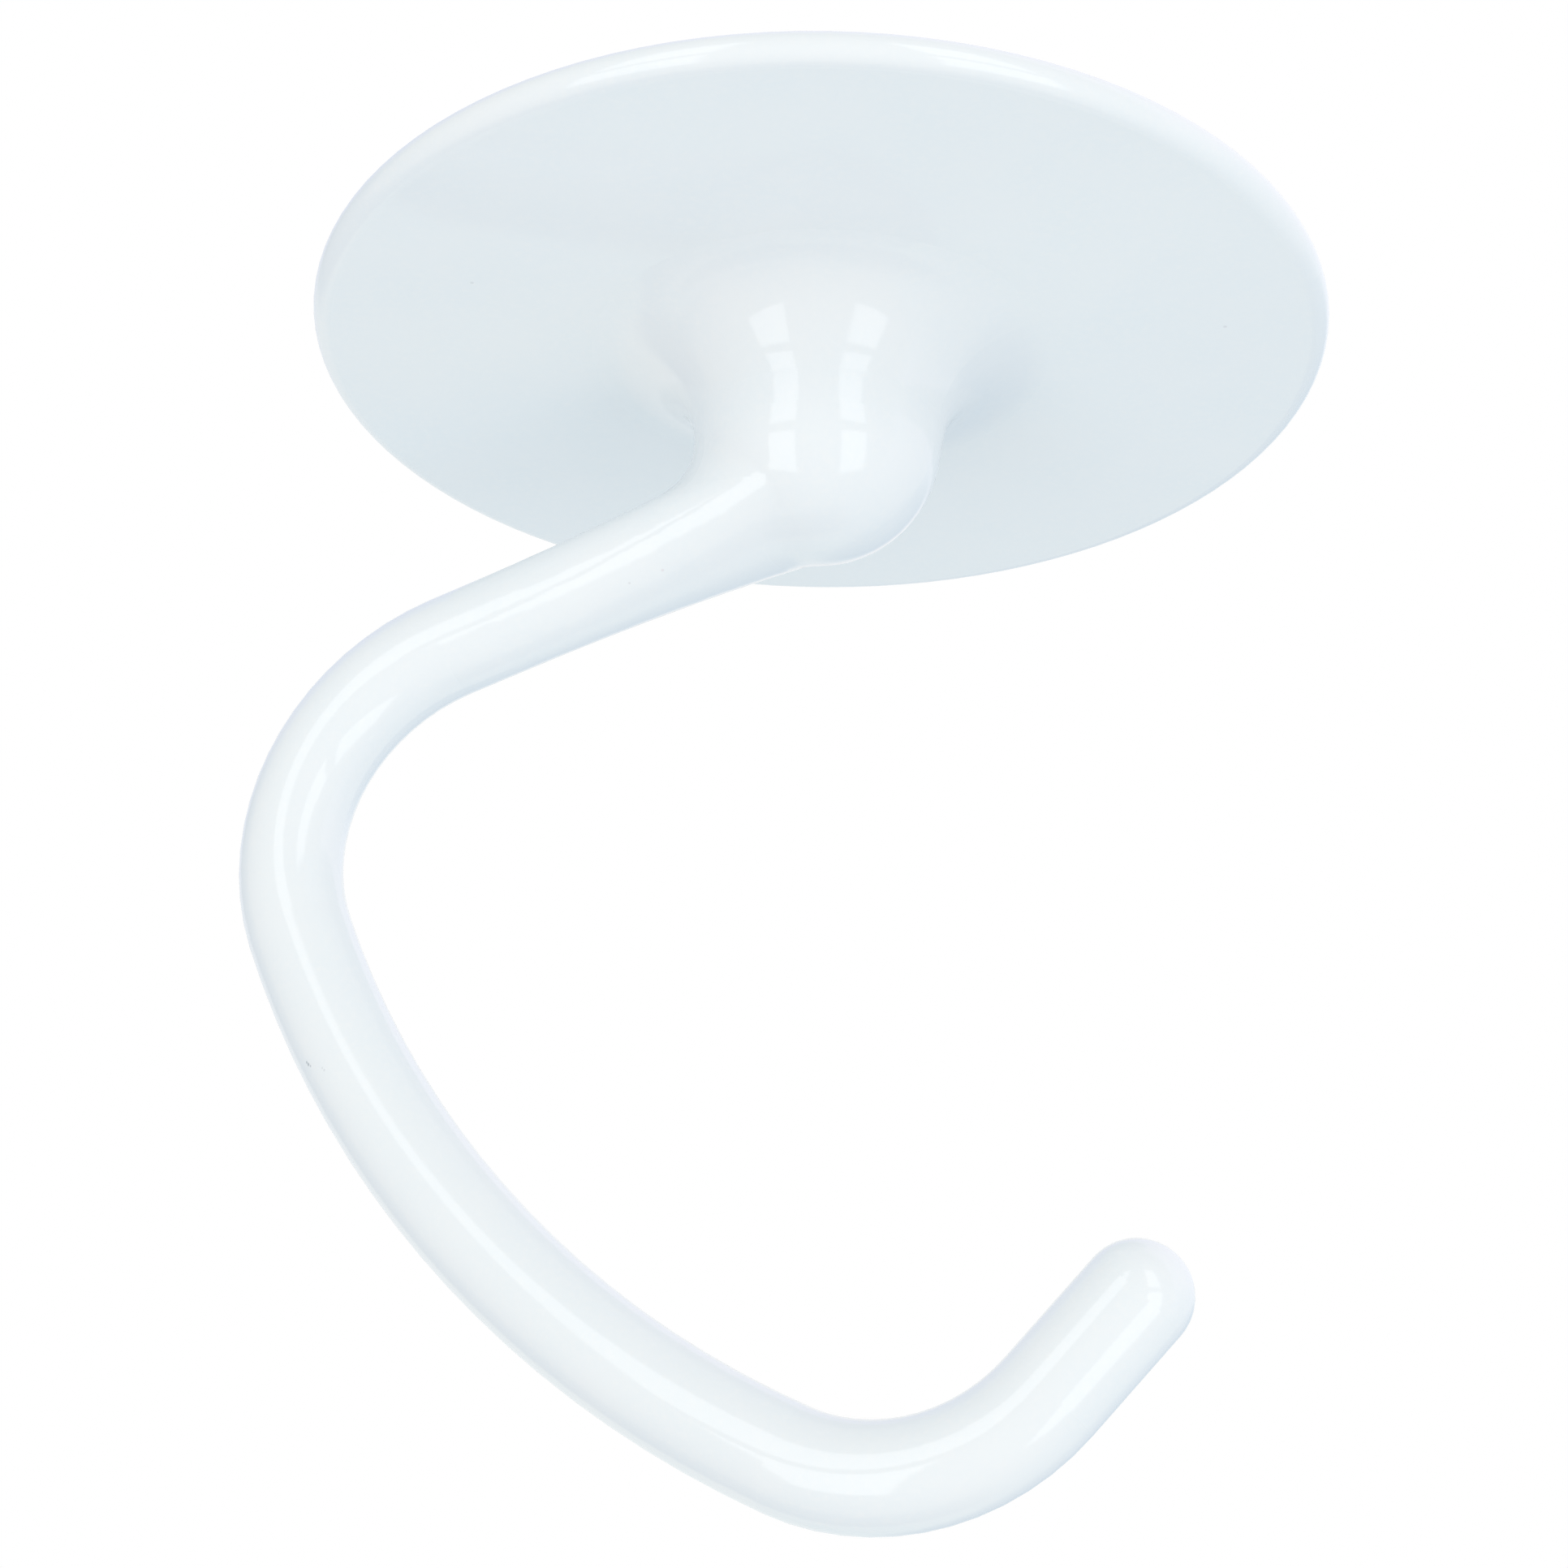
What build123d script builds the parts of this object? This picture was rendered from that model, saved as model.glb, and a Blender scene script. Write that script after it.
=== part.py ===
from build123d import *
import os
from math import cos, radians, sin, sqrt

# Mixer shaft and its drive pin, which the hook is made to fit
shaft_diameter = 12.7
shaft_clearance = 0.1
pin_diameter = 4.8
pin_clearance = 0.4

# Collar above the disc, with a blind bore and a bayonet slot through its wall
collar_diameter = 25.4
collar_edge_round = 1.2
collar_foot_round = 4.0
bore_depth = 28.0
bore_chamfer = 0.4
slot_bridge = 3.6
slot_lift = 2.4
slot_floor = 2.4
slot_turn = 52.0

# Dough shield disc, with a full round rim
disc_diameter = 105.0
disc_thickness = 3.8

# Hub below the disc: a flare out of the disc, a drafted side and a ball end
flare_radius = 11.0
hub_side = 3.4
hub_draft = 9.0
hub_diameter = 25.0

# Root of the hook's arm, which narrows out of the hub to the rod
root_inset = 0.75
root_length = 36.0
root_round = 7.0

# Hook rod: straight arm, shoulder bend, long belly, toe bend and straight tip with a ball end
rod_diameter = 10.6
arm_inset = 2.0
arm_slope = 17.7
arm_length = 5.4
shoulder_radius = 23.3
shoulder_turn = 93.1
belly_radius = 108.8
belly_turn = 42.3
toe_radius = 20.9
toe_turn = 73.4
tip_length = 12.1

# Sizes worked out from these
bore_radius = shaft_diameter / 2 + shaft_clearance
slot_width = pin_diameter + 2 * pin_clearance
collar_radius = collar_diameter / 2
disc_radius = disc_diameter / 2
rim_radius = disc_thickness / 2
hub_radius = hub_diameter / 2
rod_radius = rod_diameter / 2

# Heights, downwards from the bore's mouth at the origin
seat_height = -slot_bridge - slot_width / 2
turn_height = seat_height - slot_lift
disc_top = turn_height - slot_width / 2 - slot_floor
disc_middle = disc_top - rim_radius
disc_under = disc_top - disc_thickness
lean = radians(hub_draft)
flare_end = disc_under - flare_radius * (1 - sin(lean))
ball_centre = flare_end - hub_side * cos(lean) + hub_radius * sin(lean)
arm_drop = (hub_radius - arm_inset - rod_radius) / cos(radians(arm_slope))
arm_start = ball_centre - arm_drop

# Half of the root's width at the drive axis, just inside the ball
root_half = sqrt(hub_radius**2 - arm_drop**2) - root_inset

with BuildPart() as dough_hook:
    # Collar, disc and hub, turned about the drive axis
    with BuildSketch(Plane.XZ) as turned:
        with BuildLine():
            rim = CenterArc((disc_radius - rim_radius, disc_middle), rim_radius, 90, -180)
            ball = CenterArc((0, ball_centre), hub_radius, -hub_draft, hub_draft - 90)
            side = PolarLine(ball @ 0, hub_side, 90 - hub_draft)
            flare = JernArc(side @ 1, side % 1, flare_radius, hub_draft - 90)
            Polyline(ball @ 1, (0, 0), (collar_radius, 0), (collar_radius, disc_top), rim @ 0)
            Line(rim @ 1, flare @ 1)
        make_face()
        collar_edge = turned.vertices().filter_by_position(Axis.Y, 0, 0).sort_by(Axis.X)[-1]
        fillet(collar_edge, collar_edge_round)
        collar_foot = turned.vertices().filter_by_position(Axis.Y, disc_top, disc_top).sort_by(Axis.X)[0]
        fillet(collar_foot, collar_foot_round)
    revolve(axis=Axis.Z)

    # Root of the arm, which narrows front to back from the hub to the rod
    with BuildLine(Plane.XZ):
        root = PolarLine((0, arm_start), root_length, 180 + arm_slope)
    for share in (0, 0.5, 1):
        with BuildSketch(Plane(origin=root @ share, x_dir=(0, 1, 0), z_dir=root % share)):
            Ellipse(rod_radius + (root_half - rod_radius) * (1 - share) ** 2, rod_radius)
    loft()
    fillet(dough_hook.edges(Select.NEW), root_round)

    # Hook rod, swept along its centre line from the root
    with BuildLine(Plane.XZ):
        arm = PolarLine(root @ 1, arm_length, 180 + arm_slope)
        shoulder = JernArc(arm @ 1, arm % 1, shoulder_radius, shoulder_turn)
        belly = JernArc(shoulder @ 1, shoulder % 1, belly_radius, belly_turn)
        toe = JernArc(belly @ 1, belly % 1, toe_radius, toe_turn)
        tip = PolarLine(toe @ 1, tip_length, direction=toe % 1)
    with BuildSketch(Plane(origin=arm @ 0, z_dir=arm % 0)):
        Circle(rod_radius)
    sweep()
    with Locations(tip @ 1):
        Sphere(rod_radius)

    # Blind bore for the shaft
    Hole(bore_radius, depth=bore_depth)
    chamfer(dough_hook.edges(Select.LAST).filter_by(GeomType.CIRCLE).sort_by(Axis.Z)[-1], bore_chamfer)

    # Bayonet slot: the pin goes in from the top, turns along the slot and lifts into its seat
    with BuildSketch(Plane.YZ):
        SlotCenterToCenter(-2 * turn_height, slot_width, rotation=90)
    extrude(amount=collar_diameter, mode=Mode.SUBTRACT)
    with BuildSketch(Plane.XZ):
        with Locations((collar_radius, turn_height)):
            Rectangle(collar_diameter, slot_width)
    revolve(axis=-Axis.Z, revolution_arc=slot_turn, mode=Mode.SUBTRACT)
    with BuildSketch(Plane.YZ.rotated((0, -slot_turn, 0))):
        with Locations((0, (turn_height + seat_height) / 2)):
            SlotCenterToCenter(slot_lift, slot_width, rotation=90)
    extrude(amount=collar_diameter, mode=Mode.SUBTRACT)

dough_hook.part.label = "dough_hook"
os.makedirs("parts", exist_ok=True)
export_step(dough_hook.part, "parts/dough_hook.step")
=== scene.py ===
import math

import bmesh
import bpy
from mathutils import Matrix, Vector
from mathutils.bvhtree import BVHTree

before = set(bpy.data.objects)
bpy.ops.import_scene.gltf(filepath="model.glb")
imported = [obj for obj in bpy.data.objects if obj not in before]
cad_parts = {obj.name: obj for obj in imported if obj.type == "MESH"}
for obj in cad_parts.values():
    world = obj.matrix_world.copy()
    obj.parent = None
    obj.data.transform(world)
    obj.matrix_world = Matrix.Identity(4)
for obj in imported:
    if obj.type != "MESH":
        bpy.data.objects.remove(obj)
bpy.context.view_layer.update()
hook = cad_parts["dough_hook"]
scene = bpy.context.scene
scene.view_settings.view_transform = "Standard"
print("frame loaded:", len(hook.data.polygons), "triangles on the hook")

# camera below the disc, turned to the hook's open side; metres, degrees, and mm for lens and film
photoCamera = {
    "aim": (-0.0028, -0.0010, -0.0672),
    "distance": 0.400,
    "azimuth": 17.39,
    "elevation": -25.35,
    "roll": 1.02,
    "lens": 93.17,
    "film": 36.0,
    "pixels": 1932,  # across and down
    "nearest": 0.01,
}


def compass(azimuth, elevation):
    # unit vector from the hook; azimuth 0 is towards -Y and 90 towards +X
    a, e = math.radians(azimuth), math.radians(elevation)
    return Vector((math.sin(a) * math.cos(e), -math.cos(a) * math.cos(e), math.sin(e)))


def placeCamera(view):
    camera = bpy.data.objects.new("camera", bpy.data.cameras.new("camera"))
    scene.collection.objects.link(camera)
    camera.data.lens = view["lens"]
    camera.data.sensor_width = view["film"]
    camera.data.clip_start = view["nearest"]
    outward = compass(view["azimuth"], view["elevation"])
    turn = (-outward).to_track_quat("-Z", "Y").to_matrix().to_4x4()
    turn = turn @ Matrix.Rotation(math.radians(view["roll"]), 4, "Z")
    spot = Vector(view["aim"]) + view["distance"] * outward
    camera.matrix_world = Matrix.Translation(spot) @ turn
    scene.camera = camera
    return camera.matrix_world.copy()


photoView = placeCamera(photoCamera)
viewTurn = photoView.to_3x3()
right, up, back = (viewTurn.col[i] for i in range(3))  # the photo's own directions
print("camera placed")


def addNode(tree, kind, links=(), **settings):
    # a node with its settings, and links given as (input name, output socket)
    node = tree.nodes.new(kind)
    for name, setting in settings.items():
        setattr(node, name, setting)
    for name, source in links:
        tree.links.new(source, node.inputs[name])
    return node


def addRamp(tree, value, ends, results=(0, 1), curve="LINEAR"):
    # takes a value between two ends to one between two results
    ramp = addNode(tree, "ShaderNodeMapRange", [("Value", value)], interpolation_type=curve)
    sockets = ("From Min", "From Max", "To Min", "To Max")
    for name, number in zip(sockets, (*ends, *results)):
        ramp.inputs[name].default_value = number
    return ramp.outputs["Result"]


def paintOver(tree, share, below, above):
    # lays one paint over another by a share; a paint is a colour or a socket
    mix = addNode(tree, "ShaderNodeMix", [("Factor", share)], data_type="RGBA")
    for name, paint in (("A", below), ("B", above)):
        if isinstance(paint, tuple):
            mix.inputs[name].default_value = (*paint, 1)
        else:
            tree.links.new(paint, mix.inputs[name])
    return mix.outputs["Result"]


# glossy white coating, sizes in metres; a range is the part of the noise that counts
whiteCoating = {
    "colour": (0.852, 0.886, 0.903),
    "cloudColour": (0.838, 0.880, 0.901),
    "cloudSize": 0.009,
    "cloudRange": (0.35, 0.65),
    "grainColour": (0.860, 0.890, 0.902),
    "grainSize": 0.0007,
    "grainDetail": 3,
    "grainRange": (0.45, 0.75),
    "gloss": (0.070, 0.105),  # roughness, from the smoothest to the dullest patches
    "glossSize": 0.005,
    "glossRange": (0.3, 0.7),
    "refraction": 1.55,
    "peelSize": 0.0013,
    "peelDepth": 0.0000015,
    "markCore": 0.45,  # share of a mark's size that has its full colour
}

# small chips and specks in the coating: pixel of the photo, size and colour
coatingMarks = {
    "nickTop": ((377.5, 1308.5), 0.00018, (0.52, 0.56, 0.59)),
    "nickMiddle": ((379.5, 1311), 0.00022, (0.46, 0.50, 0.53)),
    "nickFoot": ((382, 1313), 0.00016, (0.58, 0.62, 0.65)),
    "scratchTop": ((396.5, 1315.5), 0.00015, (0.74, 0.77, 0.79)),
    "scratchFoot": ((399, 1318), 0.00016, (0.72, 0.75, 0.78)),
    "discSpeckLeft": ((581, 348), 0.00024, (0.74, 0.77, 0.79)),
    "discSpeckRight": ((1509, 402), 0.00026, (0.74, 0.76, 0.79)),
    "armSpeckUpper": ((816, 702), 0.00020, (0.79, 0.77, 0.80)),
    "armSpeckLower": ((775, 718), 0.00017, (0.76, 0.78, 0.80)),
}

hookSkin = BVHTree.FromPolygons(
    [corner.co for corner in hook.data.vertices],
    [tuple(face.vertices) for face in hook.data.polygons])


def pointOnHook(pixel):
    # where the line of sight through the middle of a pixel meets the hook
    x, y = ((p + 0.5) / photoCamera["pixels"] - 0.5 for p in pixel)
    spread = photoCamera["film"] / photoCamera["lens"]
    sight = spread * (x * right - y * up) - back
    return hookSkin.ray_cast(photoView.translation, sight.normalized())[0]


def makeWhiteCoating(look, marks):
    material = bpy.data.materials.new("whiteCoating")
    material.use_nodes = True
    tree = material.node_tree
    shader = tree.nodes["Principled BSDF"]
    place = addNode(tree, "ShaderNodeTexCoord").outputs["Object"]

    def noise(size, detail=2):
        node = addNode(tree, "ShaderNodeTexNoise", [("Vector", place)])
        node.inputs["Scale"].default_value = 1 / size
        node.inputs["Detail"].default_value = detail
        return node.outputs["Fac"]

    clouds = addRamp(tree, noise(look["cloudSize"]), look["cloudRange"])
    colour = paintOver(tree, clouds, look["colour"], look["cloudColour"])
    grain = addRamp(tree, noise(look["grainSize"], look["grainDetail"]), look["grainRange"])
    colour = paintOver(tree, grain, colour, look["grainColour"])
    for pixel, size, shade in marks.values():
        near = addNode(tree, "ShaderNodeVectorMath", [(0, place)], operation="DISTANCE")
        near.inputs[1].default_value = pointOnHook(pixel)
        mark = addRamp(tree, near.outputs["Value"], (look["markCore"] * size, size), (1, 0))
        colour = paintOver(tree, mark, colour, shade)
    tree.links.new(colour, shader.inputs["Base Color"])

    gloss = addRamp(tree, noise(look["glossSize"]), look["glossRange"], look["gloss"])
    tree.links.new(gloss, shader.inputs["Roughness"])
    shader.inputs["IOR"].default_value = look["refraction"]
    bump = addNode(tree, "ShaderNodeBump", [("Height", noise(look["peelSize"]))])
    bump.inputs["Distance"].default_value = look["peelDepth"]
    tree.links.new(bump.outputs["Normal"], shader.inputs["Normal"])
    return material


hook.data.materials.clear()
hook.data.materials.append(makeWhiteCoating(whiteCoating, coatingMarks))
print("coating on the hook")

# two tall softboxes either side of the camera, each with two panes; shares of the distance
softboxes = {
    "distance": 0.7,
    "leftSpan": (-1.15, -0.43),
    "rightSpan": (0.39, 1.02),
    "lowerPane": (-0.60, 0.22),
    "upperPane": (0.42, 1.70),
    "radiance": 1.27,
}


def hangPane(light, side, row):
    reach = light["distance"]
    x0, x1 = light[side + "Span"]
    y0, y1 = light[row + "Pane"]
    pane = bpy.data.lights.new(side + row.title() + "Pane", "AREA")
    pane.shape = "RECTANGLE"
    pane.size, pane.size_y = (x1 - x0) * reach, (y1 - y0) * reach
    pane.energy = light["radiance"] * math.pi * pane.size * pane.size_y
    lamp = bpy.data.objects.new(pane.name, pane)
    scene.collection.objects.link(lamp)
    lamp.visible_camera = False
    offset = back + right * (x0 + x1) / 2 + up * (y0 + y1) / 2
    centre = Vector(photoCamera["aim"]) + reach * offset
    lamp.matrix_world = Matrix.Translation(centre) @ viewTurn.to_4x4()


for side in ("left", "right"):
    for row in ("lower", "upper"):
        hangPane(softboxes, side, row)
print("softboxes hung")

# studio room about the photo's view. A way is two angles, from the line of sight and round it
# from up towards the right. An edge of a round patch is its outer and inner angle.
studioRoom = {
    "white": (1.0, 1.0, 1.0),  # backdrop behind the hook
    "whiteWay": (0, 0),
    "whiteEdge": (22, 17),
    "backUpLeft": (0.63, 0.69, 0.92),
    "backUpRight": (1.17, 1.12, 1.22),
    "backDownLeft": (1.09, 1.11, 1.06),
    "backDownRight": (0.83, 0.92, 0.97),
    "cornerBlend": (-0.6, 0.6),  # left to right and down to up
    "sweep": (0.90, 1.00, 1.00),  # pale sweep behind and below
    "sweepWay": (57, 180),
    "sweepEdge": (22, 13),
    "shade": (0.54, 0.65, 0.76),  # bluish gap between the sweep and the backdrop
    "shadeWay": (45, 140),
    "shadeEdge": (31, 17),
    "card": (0.49, 0.57, 0.67),  # bluish card along the lower left
    "cardLean": (-0.8, -0.6),  # to the right and up
    "cardFar": (0.58, 0.42),
    "cardSide": (0.15, 0.45),
    "frontUp": (0.710, 0.725, 0.725),  # the camera's side of the room
    "frontDown": (0.845, 0.845, 0.845),
    "frontLean": (0.306, -0.341, -0.889),  # plane that parts front and back: right, up, back
    "frontEdge": (0.09, -0.08),
}


def paintRoom(room):
    world = bpy.data.worlds.new("studioRoom")
    scene.world = world
    world.use_nodes = True
    tree = world.node_tree
    way = addNode(tree, "ShaderNodeTexCoord").outputs["Generated"]

    def alongAxis(axis, low, high):
        # how far a direction lies along an axis, from 0 at low to 1 at high
        dot = addNode(tree, "ShaderNodeVectorMath", [(0, way)], operation="DOT_PRODUCT")
        dot.inputs[1].default_value = axis
        ends, results = ((low, high), (0, 1)) if low < high else ((high, low), (1, 0))
        return addRamp(tree, dot.outputs["Value"], ends, results, "SMOOTHSTEP")

    def around(name):
        # the round patch of that name
        tilt, spin = (math.radians(x) for x in room[name + "Way"])
        sideways = up * math.cos(spin) + right * math.sin(spin)
        axis = -back * math.cos(tilt) + sideways * math.sin(tilt)
        return alongAxis(axis, *(math.cos(math.radians(x)) for x in room[name + "Edge"]))

    toRight = alongAxis(right, *room["cornerBlend"])
    toUp = alongAxis(up, *room["cornerBlend"])
    backUp = paintOver(tree, toRight, room["backUpLeft"], room["backUpRight"])
    backDown = paintOver(tree, toRight, room["backDownLeft"], room["backDownRight"])
    paint = paintOver(tree, toUp, backDown, backUp)
    for patch in ("sweep", "shade"):
        paint = paintOver(tree, around(patch), paint, room[patch])

    x, y, z = room["frontLean"]
    cut = (z * back + y * up + x * right).normalized()
    x, y = room["cardLean"]
    lowerLeft = x * right + y * up
    card = addNode(tree, "ShaderNodeMath", operation="MULTIPLY")
    tree.links.new(alongAxis(cut, *room["cardFar"]), card.inputs[0])
    tree.links.new(alongAxis(lowerLeft, *room["cardSide"]), card.inputs[1])
    paint = paintOver(tree, card.outputs["Value"], paint, room["card"])
    front = paintOver(tree, toUp, room["frontDown"], room["frontUp"])
    paint = paintOver(tree, alongAxis(cut, *room["frontEdge"]), paint, front)
    paint = paintOver(tree, around("white"), paint, room["white"])
    tree.links.new(paint, tree.nodes["Background"].inputs["Color"])


paintRoom(studioRoom)
print("room painted")

# round pale floor, well below the hook
paleFloor = {
    "height": -0.70,
    "radius": 6.0,
    "segments": 96,
    "colour": (0.80, 0.81, 0.82),
    "roughness": 0.6,
}


def layFloor(look):
    mesh = bpy.data.meshes.new("paleFloor")
    sheet = bmesh.new()
    bmesh.ops.create_circle(
        sheet, cap_ends=True, segments=look["segments"], radius=look["radius"],
        matrix=Matrix.Translation((0, 0, look["height"])))
    sheet.to_mesh(mesh)
    sheet.free()
    floor = bpy.data.objects.new("paleFloor", mesh)
    scene.collection.objects.link(floor)
    material = bpy.data.materials.new("paleFloor")
    material.use_nodes = True
    shader = material.node_tree.nodes["Principled BSDF"]
    shader.inputs["Base Color"].default_value = (*look["colour"], 1)
    shader.inputs["Roughness"].default_value = look["roughness"]
    mesh.materials.append(material)
    # the room's lower half still lights the hook through it
    floor.visible_diffuse = floor.visible_glossy = floor.visible_shadow = False


layFloor(paleFloor)
print("studio ready")
